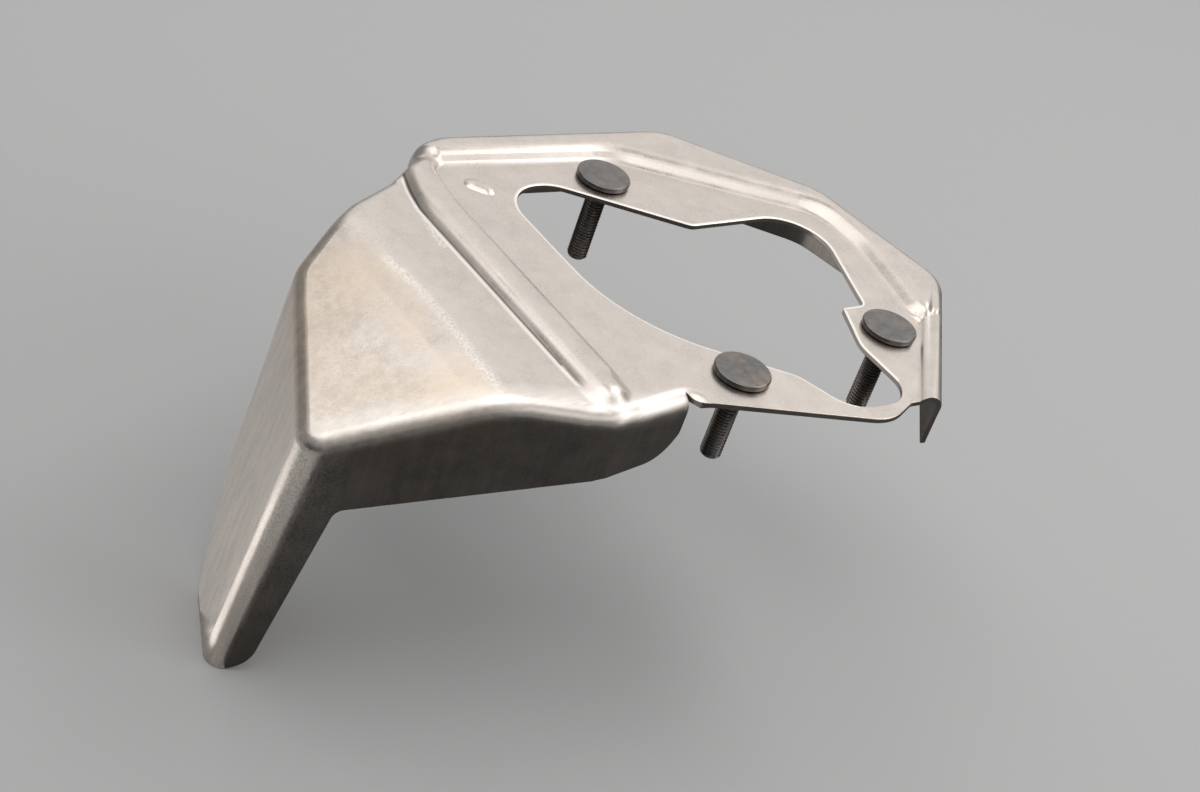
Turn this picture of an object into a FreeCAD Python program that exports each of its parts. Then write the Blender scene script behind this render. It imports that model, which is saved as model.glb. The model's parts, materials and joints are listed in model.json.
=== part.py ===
"""Stamped exhaust heat shield with three weld studs, in millimetres.

The flange lies flat, with +Z on the side of the stud heads. The origin is on
the axis of the front stud, on the face of the flange that meets the engine.
"""
import FreeCAD, Part
import math
import os
from FreeCAD import Vector

# Sheet: its thickness and the outside radius of the bend round the edge
SHEET = 1.5
BEND = 5.0

# Outer walls seen from above: where their planes cross, and how far each corner is rounded
KNEE = (-45.8, -8.6)
KNEE_ROUND = 8.0
FRONT_WALL_TURN = 155.0
CLOSING_WALL_TURN = 7.0
CLOSING_WALL_END = -20.8
CLOSING_CORNER_ROUND = 1.0
RIGHT_WALL_POINT = (54.5, -22.9)
RIGHT_CORNER = (96.2, 23.5)
RIGHT_ROUND = 12.0
SHOULDER = (87.4, 72.1)
SHOULDER_ROUND = 16.0
APEX = (51.7, 110.1)
APEX_ROUND = 16.0
REAR_LEFT = (-28.1, 115.9)
REAR_LEFT_ROUND = 20.0
WING_REAR = (-88.7, 78.9)
WING_REAR_ROUND = 14.0

# Left wall: its top front corner, its direction and how far it leans out
LEG_CORNER = (-114.9, 23.6, -21.2)
LEG_CORNER_ROUND = 5.2
LEG_TIP_BEND = 7.0
LEFT_WALL_TURN = 66.0
LEFT_WALL_LEAN = 6.3

# Wing, folded down from the flange along a line parallel to Y
FOLD_X = -70.5
FOLD_ANGLE = 27.5
FOLD_ROUND = 30.0

# Raised rim, and the rib that runs on from it to a round end: corners of their foot line
RIM_RISE = 3.0
RIM_FLANK = 35.0
RIM_TOP_ROUND = 7.0
RIM_FOOT_ROUND = 4.0
RIB_X = -43.8
RIB_WIDTH = 13.8
RIB_END_Y = -5.0
RIB_END_FLAT = 0.6
RIM_CORNER_Y = 103.7
RIM_CORNER_ROUND = 6.0
RIM_APEX = (25.5, 98.4)
RIM_APEX_ROUND = 20.0
RIM_SHOULDER = (78.5, 62.9)
RIM_SHOULDER_ROUND = 12.0
RIM_RIGHT = (79.6, 45.0)
RIM_RIGHT_ROUND = 30.0
RIM_END = (73.15, 12.8)
RIM_END_ROUND = 8.0
RIM_END_TURN = -52.0
RIM_ROOT = 2.0

# Low ridge beside the front half of the right wall
RIDGE_RISE = 1.9
RIDGE_WIDTH = 7.4
RIDGE_TOP_ROUND = 3.5
RIDGE_END = 45.0

# Small oval blister in the flange
BLISTER = (-24.8, 91.7)
BLISTER_TURN = -46.0
BLISTER_LENGTH = 3.6
BLISTER_ROUND = 5.0
BLISTER_RISE = 1.0

# Front wall trim: distance from the knee towards the leg, and height
FRONT_TRIM_RIGHT = (0.0, -18.5)
FRONT_TRIM_RIGHT_ROUND = 12.0
FRONT_TRIM_LEFT = (63.2, -39.0)
FRONT_TRIM_LEFT_ROUND = 4.0
CLOSING_TRIM = -17.3
CLOSING_TRIM_ROUND = 9.0
CLOSING_TRIM_TOP = -1.0

# Leg: its depth, the right edge of its front face, and the rear edge of its left face
LEG_DEPTH = 95.0
LEG_TIP = 73.8
LEG_TIP_ROUND = 9.0
LEG_HEEL = 30.5
LEG_HEEL_ROUND = 11.0
LEG_REAR_EDGE = ((57.0, -24.0, 6.0), (51.2, -45.0, 30.0), (50.9, -60.5, 12.0))

# Lower edges of the rear and right walls: heights where their walls end
WING_REAR_EDGE = -24.0
REAR_EDGE = -17.6
RIGHT_EDGE = -12.0

# Trimmed front edge of the arm
ARM_NOTCH_Y = -2.4
ARM_RELIEF = (-17.9, -8.2)
ARM_RELIEF_ROUND = 4.0
ARM_CORNER = (32.4, -26.9)
ARM_CORNER_ROUND = 14.0
ARM_DIP = (44.6, -21.2)
ARM_DIP_ROUND = 4.0
ARM_END = (60.0, -26.3)

# Opening: the lines that its straight sides lie on, then its corners with their roundings
OPENING_LEFT = -19.3
OPENING_REAR_STEP = 63.9
OPENING_TAB = 20.1
OPENING_FRONT = -20.4
OPENING = (
    (OPENING_LEFT, 104.0, 13.2),
    (31.4, OPENING_REAR_STEP, 4.0),
    (76.8, OPENING_REAR_STEP, 14.0),
    (61.4, OPENING_TAB, 2.0),
    (53.3, OPENING_TAB, 1.5),
    (46.4, 3.9, 12.0),
    (46.8, OPENING_FRONT, 9.9),
    (24.3, OPENING_FRONT, 11.5),
    (17.3, -3.7, 9.0),
    (OPENING_LEFT, 27.0, 52.0),
)

# Weld studs, and the holes that they sit in
FRONT_STUD = (0.0, 0.0)
RIGHT_STUD = (60.4, 8.0)
REAR_STUD = (16.9, 89.7)
STUD_RADIUS = 3.0
STUD_REACH = 25.0
STUD_POINT = 0.8
SHOULDER_RADIUS = 3.4
HEAD_RADIUS = 7.9
HEAD_HEIGHT = 2.0
HEAD_ROUND = 0.6
HOLE_CLEARANCE = 0.1

# How far working solids run past the part, and how far trims reach either side of their wall
FAR = 260.0
DIE_REACH = 190.0
OPEN_FRONT = 60.0
TRIM_REACH = 24.0
NEAR = 0.0001


def ground(point, z=0.0):
    return Vector(point[0], point[1], z)


def turned(point, angle, length):
    """The point that lies a length away from another, at an angle from +X."""
    turn = math.radians(angle)
    return (point[0] + length * math.cos(turn), point[1] + length * math.sin(turn))


def heading(start, end):
    """The angle from +X of the line from one point to another."""
    return math.degrees(math.atan2(end[1] - start[1], end[0] - start[0]))


def offset_outline(corners, inset):
    """Moves each side of an anticlockwise outline inwards, with its roundings kept concentric."""
    moved = []
    for index, (x, y, rounding) in enumerate(corners):
        before = corners[index - 1]
        after = corners[(index + 1) % len(corners)]
        into = Vector(x - before[0], y - before[1], 0).normalize()
        out = Vector(after[0] - x, after[1] - y, 0).normalize()
        shift = inset / (1.0 + into.dot(out))
        growth = -inset if into.cross(out).z > 0 else inset
        rounded = max(rounding + growth, 0.0) if rounding > 0 else 0.0
        moved.append((x - shift * (into.y + out.y), y + shift * (into.x + out.x), rounded))
    return moved


def outline_wire(corners, z=0.0):
    """A closed wire of straight sides with a tangent arc at each rounded corner."""
    corner_arcs = []
    for index, (x, y, rounding) in enumerate(corners):
        corner = Vector(x, y, z)
        into = (ground(corners[index - 1], z) - corner).normalize()
        out = (ground(corners[(index + 1) % len(corners)], z) - corner).normalize()
        half = into.getAngle(out) / 2.0
        reach = rounding / math.tan(half)
        middle = corner + (into + out).normalize() * (rounding / math.sin(half) - rounding)
        corner_arcs.append((corner + into * reach, middle, corner + out * reach, rounding))
    edges = []
    for index, (start, middle, end, rounding) in enumerate(corner_arcs):
        if rounding > 0:
            edges.append(Part.Arc(start, middle, end).toShape())
        following = corner_arcs[(index + 1) % len(corner_arcs)][0]
        edges.append(Part.LineSegment(end, following).toShape())
    return Part.Wire(edges)


def prism(corners, low, high):
    face = Part.Face(outline_wire(corners, low))
    return face.extrude(Vector(0, 0, high - low))


def through_wall(profile, start, angle, reach):
    """Extrudes a profile of (distance along a wall, height) square through that wall."""
    along = Vector(*turned((0, 0), angle, 1.0), 0)
    inward = along.cross(Vector(0, 0, 1))
    body = Part.Face(outline_wire(profile)).extrude(Vector(0, 0, 2 * reach))
    origin = ground(start) - inward * reach
    frame = FreeCAD.Matrix(
        along.x, 0, inward.x, origin.x,
        along.y, 0, inward.y, origin.y,
        0, 1, 0, 0,
        0, 0, 0, 1)
    body.Placement = FreeCAD.Placement(frame)
    return body


def half_space(origin, normal):
    """A large box that fills the side of a plane that its normal points to."""
    box = Part.makeBox(2 * FAR, 2 * FAR, 2 * FAR, Vector(-FAR, -FAR, 0))
    box.Placement = FreeCAD.Placement(origin, FreeCAD.Rotation(Vector(0, 0, 1), normal))
    return box


def closing_wall_end():
    """Where the plane of the closing wall reaches the end of that wall."""
    run = CLOSING_WALL_END - KNEE[0]
    return (CLOSING_WALL_END, KNEE[1] + run * math.tan(math.radians(CLOSING_WALL_TURN)))


def wall_outline():
    """Outside of all the walls. Its far left and front are cut away later."""
    right_turn = heading(RIGHT_WALL_POINT, RIGHT_CORNER)
    right_far = turned(RIGHT_WALL_POINT, right_turn, -OPEN_FRONT)
    rear_far = turned(WING_REAR, heading(WING_REAR, REAR_LEFT), -TRIM_REACH)
    front_far = turned(KNEE, FRONT_WALL_TURN, 2 * OPEN_FRONT)
    closing_end = closing_wall_end()
    return [
        (KNEE[0], KNEE[1], KNEE_ROUND),
        (closing_end[0], closing_end[1], CLOSING_CORNER_ROUND),
        (closing_end[0], right_far[1], 0.0),
        (right_far[0], right_far[1], 0.0),
        (RIGHT_CORNER[0], RIGHT_CORNER[1], RIGHT_ROUND),
        (SHOULDER[0], SHOULDER[1], SHOULDER_ROUND),
        (APEX[0], APEX[1], APEX_ROUND),
        (REAR_LEFT[0], REAR_LEFT[1], REAR_LEFT_ROUND),
        (rear_far[0], rear_far[1], 0.0),
        (front_far[0], front_far[1], 0.0),
    ]


def left_wall_plane(inset):
    """A point of the leaning left wall, and the way that the wall faces."""
    outward = Vector(*turned((0, 0), LEFT_WALL_TURN + 90.0, 1.0), 0)
    lean = math.radians(LEFT_WALL_LEAN)
    normal = outward * math.cos(lean) + Vector(0, 0, math.sin(lean))
    return Vector(*LEG_CORNER) - normal * inset, normal


def rim_outline():
    """Foot line of the raised rim and of the rib."""
    right = RIB_X + RIB_WIDTH / 2
    left = RIB_X - RIB_WIDTH / 2
    end_round = (RIB_WIDTH - RIB_END_FLAT) / 2
    step = turned(RIM_END, RIM_END_TURN, FAR)
    return [
        (left, RIB_END_Y, end_round),
        (right, RIB_END_Y, end_round),
        (right, RIM_CORNER_Y, RIM_CORNER_ROUND),
        (RIM_APEX[0], RIM_APEX[1], RIM_APEX_ROUND),
        (RIM_SHOULDER[0], RIM_SHOULDER[1], RIM_SHOULDER_ROUND),
        (RIM_RIGHT[0], RIM_RIGHT[1], RIM_RIGHT_ROUND),
        (RIM_END[0], RIM_END[1], RIM_END_ROUND),
        (step[0], step[1], 0.0),
        (FAR, FAR, 0.0),
        (left, FAR, 0.0),
    ]


def rim_body(inset):
    """The rim and rib with sloping flanks, begun below the flange so that they join it cleanly."""
    slope = math.tan(math.radians(RIM_FLANK))
    level = SHEET - inset
    narrowing = inset * math.tan(math.radians(RIM_FLANK / 2.0))
    low = outline_wire(offset_outline(rim_outline(), narrowing - RIM_ROOT / slope), level - RIM_ROOT)
    high = outline_wire(offset_outline(rim_outline(), narrowing + RIM_RISE / slope), level + RIM_RISE)
    return Part.makeLoft([low, high], True, True)


def flat_edges_at(shape, z):
    """Edges that lie wholly at one height, apart from those on the sides of the working block."""
    found = []
    for edge in shape.Edges:
        box = edge.BoundBox
        level = abs(box.ZMin - z) < NEAR and abs(box.ZMax - z) < NEAR
        inside = (box.XMax > FOLD_X and box.XMin < DIE_REACH - NEAR
                  and box.YMin < DIE_REACH - NEAR and box.YMax > NEAR - DIE_REACH)
        if level and inside:
            found.append(edge)
    return found


def die_block(inset):
    """The block under the whole formed top: flange, folded wing, rim and rib."""
    level = SHEET - inset
    slab = Part.makeBox(2 * FAR, 2 * FAR, 2 * LEG_DEPTH, Vector(-FAR, -FAR, level - 2 * LEG_DEPTH))
    fold = math.radians(FOLD_ANGLE)
    normal = Vector(-math.sin(fold), 0, math.cos(fold))
    slab = slab.cut(half_space(Vector(FOLD_X, 0, SHEET) - normal * inset, normal))
    fold_edges = [edge for edge in slab.Edges
                  if edge.BoundBox.XLength < NEAR and abs(edge.BoundBox.ZMin - level) < NEAR
                  and abs(edge.BoundBox.XMin - FOLD_X) < SHEET]
    slab = slab.makeFillet(FOLD_ROUND - inset, fold_edges)
    side = 2 * DIE_REACH
    trim = Part.makeBox(side, side, side, Vector(-DIE_REACH, -DIE_REACH, -DIE_REACH))
    form = slab.fuse(rim_body(inset)).removeSplitter().common(trim)
    form = form.makeFillet(RIM_FOOT_ROUND + inset, flat_edges_at(form, level))
    return form.makeFillet(RIM_TOP_ROUND - inset, flat_edges_at(form, level + RIM_RISE))


def upright_corners(shape, inset):
    """The two edges that run down the leaning left wall, the front one first."""
    origin, normal = left_wall_plane(inset)
    found = []
    for edge in shape.Edges:
        ends = [vertex.Point for vertex in edge.Vertexes]
        on_wall = all(abs((end - origin).dot(normal)) < NEAR for end in ends)
        if on_wall and edge.BoundBox.ZLength > LEG_DEPTH / 2:
            found.append(edge)
    return sorted(found, key=lambda edge: edge.BoundBox.YMin)


def edges_round_top(shape):
    """Edges where the formed top meets the walls."""
    times_seen = {}
    for face in shape.Faces:
        if face.BoundBox.ZLength > LEG_DEPTH / 2:
            for edge in face.Edges:
                times_seen[edge.hashCode()] = times_seen.get(edge.hashCode(), 0) + 1
    return [edge for edge in shape.Edges
            if times_seen.get(edge.hashCode()) == 1 and edge.BoundBox.ZMax > -LEG_DEPTH / 2]


def ridge_body(inset):
    """The low ridge: its rounded section drawn square to the right wall, and drawn out along it."""
    level = SHEET - inset
    top_round = RIDGE_TOP_ROUND - inset
    top = level + RIDGE_RISE
    wall = -inset
    top_centre = Vector(wall - top_round, top - top_round, 0)
    foot = -RIDGE_WIDTH - inset / 2
    run = top_centre.x - foot
    lift = RIDGE_RISE
    foot_round = (run * run + lift * lift) / (2 * lift) - top_round
    foot_centre = Vector(foot, level + foot_round, 0)
    meet = foot_centre + (top_centre - foot_centre).normalize() * foot_round
    half_foot = foot_centre + ((meet - foot_centre).normalize() + Vector(0, -1, 0)).normalize() * foot_round
    half_top = top_centre + ((meet - top_centre).normalize() + Vector(1, 0, 0)).normalize() * top_round
    start = Vector(foot, level, 0)
    end = Vector(wall, top - top_round, 0)
    low_end = Vector(wall, level - 2 * BEND, 0)
    low_start = Vector(foot, level - 2 * BEND, 0)
    section = Part.Wire([
        Part.Arc(start, half_foot, meet).toShape(),
        Part.Arc(meet, half_top, end).toShape(),
        Part.LineSegment(end, low_end).toShape(),
        Part.LineSegment(low_end, low_start).toShape(),
        Part.LineSegment(low_start, start).toShape(),
    ])
    body = Part.Face(section).extrude(Vector(0, 0, OPEN_FRONT + RIDGE_END))
    along = Vector(*turned((0, 0), heading(RIGHT_WALL_POINT, RIGHT_CORNER), 1.0), 0)
    outward = along.cross(Vector(0, 0, 1))
    origin = ground(RIGHT_WALL_POINT) + along * RIDGE_END
    frame = FreeCAD.Matrix(
        outward.x, 0, -along.x, origin.x,
        outward.y, 0, -along.y, origin.y,
        0, 1, 0, 0,
        0, 0, 0, 1)
    body.Placement = FreeCAD.Placement(frame)
    return body


def blister_body(inset):
    """A rod with ball ends, sunk until only its rise stands out of the flange."""
    radius = BLISTER_ROUND - inset
    along = Vector(*turned((0, 0), BLISTER_TURN, 1.0), 0)
    middle = ground(BLISTER, SHEET + BLISTER_RISE - BLISTER_ROUND)
    start = middle - along * (BLISTER_LENGTH / 2)
    end = middle + along * (BLISTER_LENGTH / 2)
    rod = Part.makeCylinder(radius, BLISTER_LENGTH, start, along)
    return rod.fuse([Part.makeSphere(radius, start), Part.makeSphere(radius, end)])


def formed_block(inset):
    """A solid that fills the shield up to its outside face, or to its inside face."""
    walls = prism(offset_outline(wall_outline(), inset), -LEG_DEPTH - inset, LEG_DEPTH)
    block = die_block(inset).common(walls)
    block = block.cut(half_space(*left_wall_plane(inset)))
    leg_edge = upright_corners(block, inset)[:1]
    block = block.makeFillet(LEG_CORNER_ROUND - inset, LEG_TIP_BEND - inset, leg_edge)
    block = block.makeFillet(WING_REAR_ROUND - inset, upright_corners(block, inset)[-1:])
    block = block.makeFillet(BEND - inset, edges_round_top(block))
    return block.fuse([ridge_body(inset), blister_body(inset)])


def front_trim():
    """What is cut away under the front wall, and in front of the leg."""
    end = closing_wall_end()
    along = Vector(*turned((0, 0), FRONT_WALL_TURN, 1.0), 0)
    right = (ground(end) - ground(KNEE)).dot(along)
    left = LEG_TIP + 2 * LEG_TIP_ROUND
    profile = [
        (right, CLOSING_TRIM_TOP, 0.0),
        (-FAR, CLOSING_TRIM_TOP, 0.0),
        (-FAR, -FAR, 0.0),
        (left, -FAR, 0.0),
        (left, -LEG_DEPTH, 0.0),
        (LEG_TIP, -LEG_DEPTH, LEG_TIP_ROUND),
        (FRONT_TRIM_LEFT[0], FRONT_TRIM_LEFT[1], FRONT_TRIM_LEFT_ROUND),
        (FRONT_TRIM_RIGHT[0], FRONT_TRIM_RIGHT[1], FRONT_TRIM_RIGHT_ROUND),
        (right, CLOSING_TRIM, CLOSING_TRIM_ROUND),
    ]
    return through_wall(profile, KNEE, FRONT_WALL_TURN, TRIM_REACH)


def leg_trim():
    """What is cut away behind the leg, under the left wall."""
    foot = LEG_HEEL - 2 * LEG_HEEL_ROUND
    profile = [(FAR, LEG_REAR_EDGE[0][1], 0.0)]
    profile += list(LEG_REAR_EDGE)
    profile += [(LEG_HEEL, -LEG_DEPTH, LEG_HEEL_ROUND)]
    profile += [(foot, -LEG_DEPTH, 0.0), (foot, -FAR, 0.0), (FAR, -FAR, 0.0)]
    return through_wall(profile, LEG_CORNER, LEFT_WALL_TURN, TRIM_REACH)


def wing_rear_trim():
    """What is cut away under the rear wall of the wing."""
    turn = heading(WING_REAR, REAR_LEFT)
    length = (ground(REAR_LEFT) - ground(WING_REAR)).Length
    profile = [
        (0.0, WING_REAR_EDGE, 0.0),
        (length, REAR_EDGE, 0.0),
        (length, -FAR, 0.0),
        (0.0, -FAR, 0.0),
    ]
    return through_wall(profile, WING_REAR, turn, TRIM_REACH)


def flange_trim():
    """What is cut away under the rear and right walls, below a plane that rises to the front."""
    left = closing_wall_end()[0] + SHEET
    level = (RIGHT_WALL_POINT[1] + REAR_LEFT[1]) / 2
    region = [
        (left, -FAR, 0.0),
        (FAR, -FAR, 0.0),
        (FAR, FAR, 0.0),
        (REAR_LEFT[0], FAR, 0.0),
        (REAR_LEFT[0], level, 0.0),
        (left, level, 0.0),
    ]
    fall = Vector(0, REAR_LEFT[1] - RIGHT_WALL_POINT[1], REAR_EDGE - RIGHT_EDGE)
    down = fall.cross(Vector(1, 0, 0))
    below = half_space(Vector(0, REAR_LEFT[1], REAR_EDGE), down if down.z < 0 else -down)
    return prism(region, -FAR, 0.0).common(below)


def arm_trim():
    """What is cut away in front of the arm, down through the right wall too."""
    notch = closing_wall_end()[0]
    region = [
        (ARM_RELIEF[0], ARM_RELIEF[1], ARM_RELIEF_ROUND),
        (notch, ARM_NOTCH_Y, 0.0),
        (notch, closing_wall_end()[1] - SHEET, 0.0),
        (notch - SHEET, closing_wall_end()[1] - SHEET, 0.0),
        (notch - SHEET, -FAR, 0.0),
        (FAR, -FAR, 0.0),
        (FAR, ARM_END[1], 0.0),
        (ARM_END[0], ARM_END[1], 0.0),
        (ARM_DIP[0], ARM_DIP[1], ARM_DIP_ROUND),
        (ARM_CORNER[0], ARM_CORNER[1], ARM_CORNER_ROUND),
    ]
    return prism(region, -LEG_DEPTH - BEND, LEG_DEPTH)


def heat_shield():
    sheet = formed_block(0.0).cut(formed_block(SHEET))
    holes = [Part.makeCylinder(SHOULDER_RADIUS + HOLE_CLEARANCE, 2 * LEG_DEPTH, ground(place, -LEG_DEPTH))
             for place in (FRONT_STUD, RIGHT_STUD, REAR_STUD)]
    trims = [front_trim(), leg_trim(), wing_rear_trim(), flange_trim(), arm_trim()]
    opening = prism(OPENING, -BEND, BEND)
    return sheet.cut(trims + [opening] + holes)


def weld_stud(place):
    """A stud with a flat round head on the flange's outside face and a shoulder through its hole."""
    head = Part.makeCylinder(HEAD_RADIUS, HEAD_HEIGHT, ground(place, SHEET))
    top = [edge for edge in head.Edges if abs(edge.BoundBox.ZMin - SHEET - HEAD_HEIGHT) < NEAR]
    head = head.makeFillet(HEAD_ROUND, top)
    shoulder = Part.makeCylinder(SHOULDER_RADIUS, SHEET, ground(place, 0))
    shank = Part.makeCylinder(STUD_RADIUS, STUD_REACH, ground(place, -STUD_REACH))
    end = [edge for edge in shank.Edges if edge.BoundBox.ZMax < NEAR - STUD_REACH]
    shank = shank.makeChamfer(STUD_POINT, end)
    return head.fuse([shoulder, shank]).removeSplitter()


def write(name, shape):
    shape.exportStep("parts/" + name + ".step")
    print(name, "valid", shape.isValid(), "solids", len(shape.Solids), "volume", round(shape.Volume, 1))


def main():
    os.makedirs("parts", exist_ok=True)
    write("heat_shield", heat_shield())
    studs = [weld_stud(place) for place in (FRONT_STUD, RIGHT_STUD, REAR_STUD)]
    write("weld_studs", Part.makeCompound(studs))


if __name__ == "__main__":
    main()
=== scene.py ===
"""The looks of a stamped exhaust heat shield: its sheet, its three weld studs and a plain studio."""

import json
import math

import bmesh
import bpy
from bpy.props import FloatProperty, FloatVectorProperty, IntProperty, PointerProperty
from mathutils import Matrix, Vector
from mathutils.bvhtree import BVHTree


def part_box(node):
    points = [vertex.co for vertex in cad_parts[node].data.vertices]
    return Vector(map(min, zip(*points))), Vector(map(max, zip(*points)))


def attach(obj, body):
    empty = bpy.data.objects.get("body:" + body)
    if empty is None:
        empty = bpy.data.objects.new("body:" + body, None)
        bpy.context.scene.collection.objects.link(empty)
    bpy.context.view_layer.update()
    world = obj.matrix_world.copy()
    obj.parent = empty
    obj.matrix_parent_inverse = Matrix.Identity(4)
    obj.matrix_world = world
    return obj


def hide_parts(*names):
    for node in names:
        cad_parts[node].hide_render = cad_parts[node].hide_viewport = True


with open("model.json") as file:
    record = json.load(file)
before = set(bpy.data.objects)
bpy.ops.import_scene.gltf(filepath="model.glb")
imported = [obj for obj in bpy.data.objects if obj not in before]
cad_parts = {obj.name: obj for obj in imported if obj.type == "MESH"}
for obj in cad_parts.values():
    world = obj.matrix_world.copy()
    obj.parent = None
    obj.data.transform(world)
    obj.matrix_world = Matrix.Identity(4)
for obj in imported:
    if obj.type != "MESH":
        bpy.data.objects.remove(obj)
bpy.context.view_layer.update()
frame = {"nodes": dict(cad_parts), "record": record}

bl_info = {
    "name": "Exhaust Heat Shield",
    "version": (1, 0, 0),
    "blender": (4, 5, 0),
    "location": "3D View > Sidebar > Heat Shield",
    "description": "Dresses a stamped exhaust heat shield with worn sheet steel and threaded weld studs",
    "category": "Object",
}

MM = 0.001
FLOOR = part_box("heat_shield")[0].z
STUD_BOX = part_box("weld_studs")
MOUNTS = {mount["name"]: mount for mount in frame["record"]["mounts"]}
STUD_PLACES = {
    "Front Place": Vector((*MOUNTS["front_stud"]["pos_m"][:2], 0.0)),
    "Right Place": Vector((*MOUNTS["right_stud"]["pos_m"][:2], 0.0)),
    "Rear Place": Vector((*MOUNTS["rear_stud"]["pos_m"][:2], 0.0)),
}

# Lines along which the sheet's outside is painted pale, as (x, y, z) points in millimetres: real scuffs along
# the fold, the rib's foot and the leg's bend, and painted highlights along the rib's left foot and the front
# bend.
RIB_LEFT_FOOT = [
    (-45.2, 102.5, 1.8), (-48.6, 92, 1.7), (-50.3, 84, 1.6), (-50.5, 78, 1.6), (-50.5, 66, 1.6),
    (-50.5, 14, 1.6), (-50.2, 6, 1.6), (-49.0, 1.5, 1.6), (-46.8, -1.6, 1.6),
]
RIB_FOOT_SCUFF = [(-50.8, 79.5, 1.7), (-51.6, 74, 1.7), (-52.2, 68, 1.6)]
FOLD_SCUFF = [(-70.6, 66, 1.0), (-69.4, 53, 1.7), (-69.2, 38, 1.8), (-70.1, 25.7, 1.6), (-71.2, 9, 0.9)]
LEG_BEND = [(-112, 23, -24), (-106, 26, -60), (-101, 29, -92)]
# The front bend's crest, along which a highlight is painted in brushed streaks.
FRONT_BEND = [
    (-109, 24, -18.5), (-93, 17.2, -10.2), (-77, 8.7, -2.0), (-70, 5.4, 0.9), (-62, 3.4, 1.2),
    (-54, 0.6, 1.1), (-48, -3.8, 1.0), (-40, -5.6, 1.2), (-26, -6.0, 0.5),
]
# The painted shade line in the rib's foot lies beside the painted highlight line, along its straight and its
# rear.
RIB_FOOT_PAINTED_SHADE = [(x + 0.75, y, z + 0.3) for x, y, z in RIB_LEFT_FOOT[:6]]

# The pinched fold in the right ridge at its step, its reach in plan and its widths, in millimetres.
STEP_CREASE = [(82.0, 13.2, 4.3), (78.2, 9.5, 4.3), (74.2, 5.5, 4.0)]
STEP_FOOT = [(72.1, 18.2, 2), (71.8, 13.4, 2), (72.5, 9.7, 2), (74.3, 7.2, 2), (75.8, 5.7, 2)]
STEP_DIMPLE = [(75.8, 10.6, 3.5), (75.0, 9.3, 3.5)]
STEP_LEFT, STEP_REAR = 66, 24
CREASE_REACH, FOOT_REACH = 4.5, 2.5
CREASE_WIDTH, DIMPLE_WIDTH, DIMPLE_SHARE = 1.3, 1.6, 0.5

# The pressed section of the rib, as (x, z) points in millimetres: steep at its left foot, round on
# top, sheer on its right. It fades in and out along y over the rib's ends.
RIB_SECTION = [
    (-52.0, 1.5), (-50.6, 1.5), (-50.0, 1.58), (-49.5, 1.95), (-49.0, 2.44), (-48.0, 3.27),
    (-47.0, 3.84), (-46.0, 4.18), (-45.0, 4.37), (-44.0, 4.47), (-43.0, 4.5), (-42.0, 4.48),
    (-41.0, 4.4), (-40.0, 4.22), (-39.0, 3.88), (-38.3, 3.45), (-37.7, 2.9), (-37.1, 2.25),
    (-36.6, 1.82), (-36.1, 1.58), (-35.5, 1.5), (-34.0, 1.5),
]
RIB_ENDS = ((3.0, 9.0), (94.0, 102.0))
RIB_MIDDLE = 40

# From its start in y, the rear of the rib leans to the right with the square of the way, and the
# lean fades out beside the rib and behind it.
LEAN_START = 80.0
LEAN = 0.011
LEAN_FADES = {"left": (-66, -54), "right": (-46, -26), "rear": (103, 113)}

# The flange and its rib lie above the first of these heights, and the leg below the second, in millimetres.
FLANGE_LOW = -3
LEG_TOP = -30
# A surface direction with at least this rise belongs to the upper face.
UPWARD = 0.05
# Steps in millimetres over which slopes are measured.
PRESS_STEP = 0.3
SECTION_STEP = 0.1

# Facets are halved at most so often. Corners nearer than the first distance in metres are merged, and
# one below the second is no distance at all. The turns between facets that count as flat, and as a cut.
MOST_HALVINGS = 8
WELD = 2e-6
TINY = 1e-6
FLAT_TURN = math.radians(0.3)
CUT_TURN = math.radians(50)
# A sum of directions shorter than this points nowhere.
FAINT = 0.1
# The least that a mitred corner is taken to face its walls, and the least turn of an outline.
MITRE_LEAST = 0.5
LEAST_TURN = 1e-3
# Where a skin's face is level, its cut edges roll over more widely.
LEVEL = 0.9999
# The most of a facet's side, or of the outline's radius, that a rounding takes.
ROUND_SHARE = 0.4
# A rounding's corners from the skin down to the cut, and how much painted highlight each gets.
EDGE_TURNS = [math.radians(turn) for turn in (0, 30, 60, 90)]
EDGE_PAINTED_HIGHLIGHT = (0.45, 1.0, 1.0, 0.4)

# Places in metres between which a part's look fades in: the wing in x, the top and the walls in z.
WING_FROM = (-69 * MM, -74 * MM)
TOP_FROM = (-24 * MM, -16 * MM)
WALL_FROM = (-2 * MM, -7 * MM)

# A stud's head: its face as (share of the radius, share of the crown's fall), and the relief under its
# rim as (millimetres inwards, millimetres up, share of the seat gap).
HEAD_FACE = ((0.0, 0.0), (0.35, 0.1), (0.7, 0.45))
SEAT_RELIEF = ((0.05, 0.15, 1.0), (0.25, 0.0, 1.0), (0.9, 0.0, 0.6), (1.2, 0.0, 0.0))
HEAD_SIDES = 72
# The shank starts inside the shoulder. The thread's flank falls over this part of its half turn.
SHANK_TOP = 0.5 * MM
THREAD_FLANK = (0.16, 0.86)
STUD_SHARP = math.radians(50)
STUD_SOCKETS = {
    "NodeSocketFloat": ("Shank Radius", "Thread Depth", "Pitch", "Top", "Length", "Point"),
    "NodeSocketInt": ("Sides", "Rows"),
    "NodeSocketVector": tuple(STUD_PLACES),
    "NodeSocketMaterial": ("Finish",),
}

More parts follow.
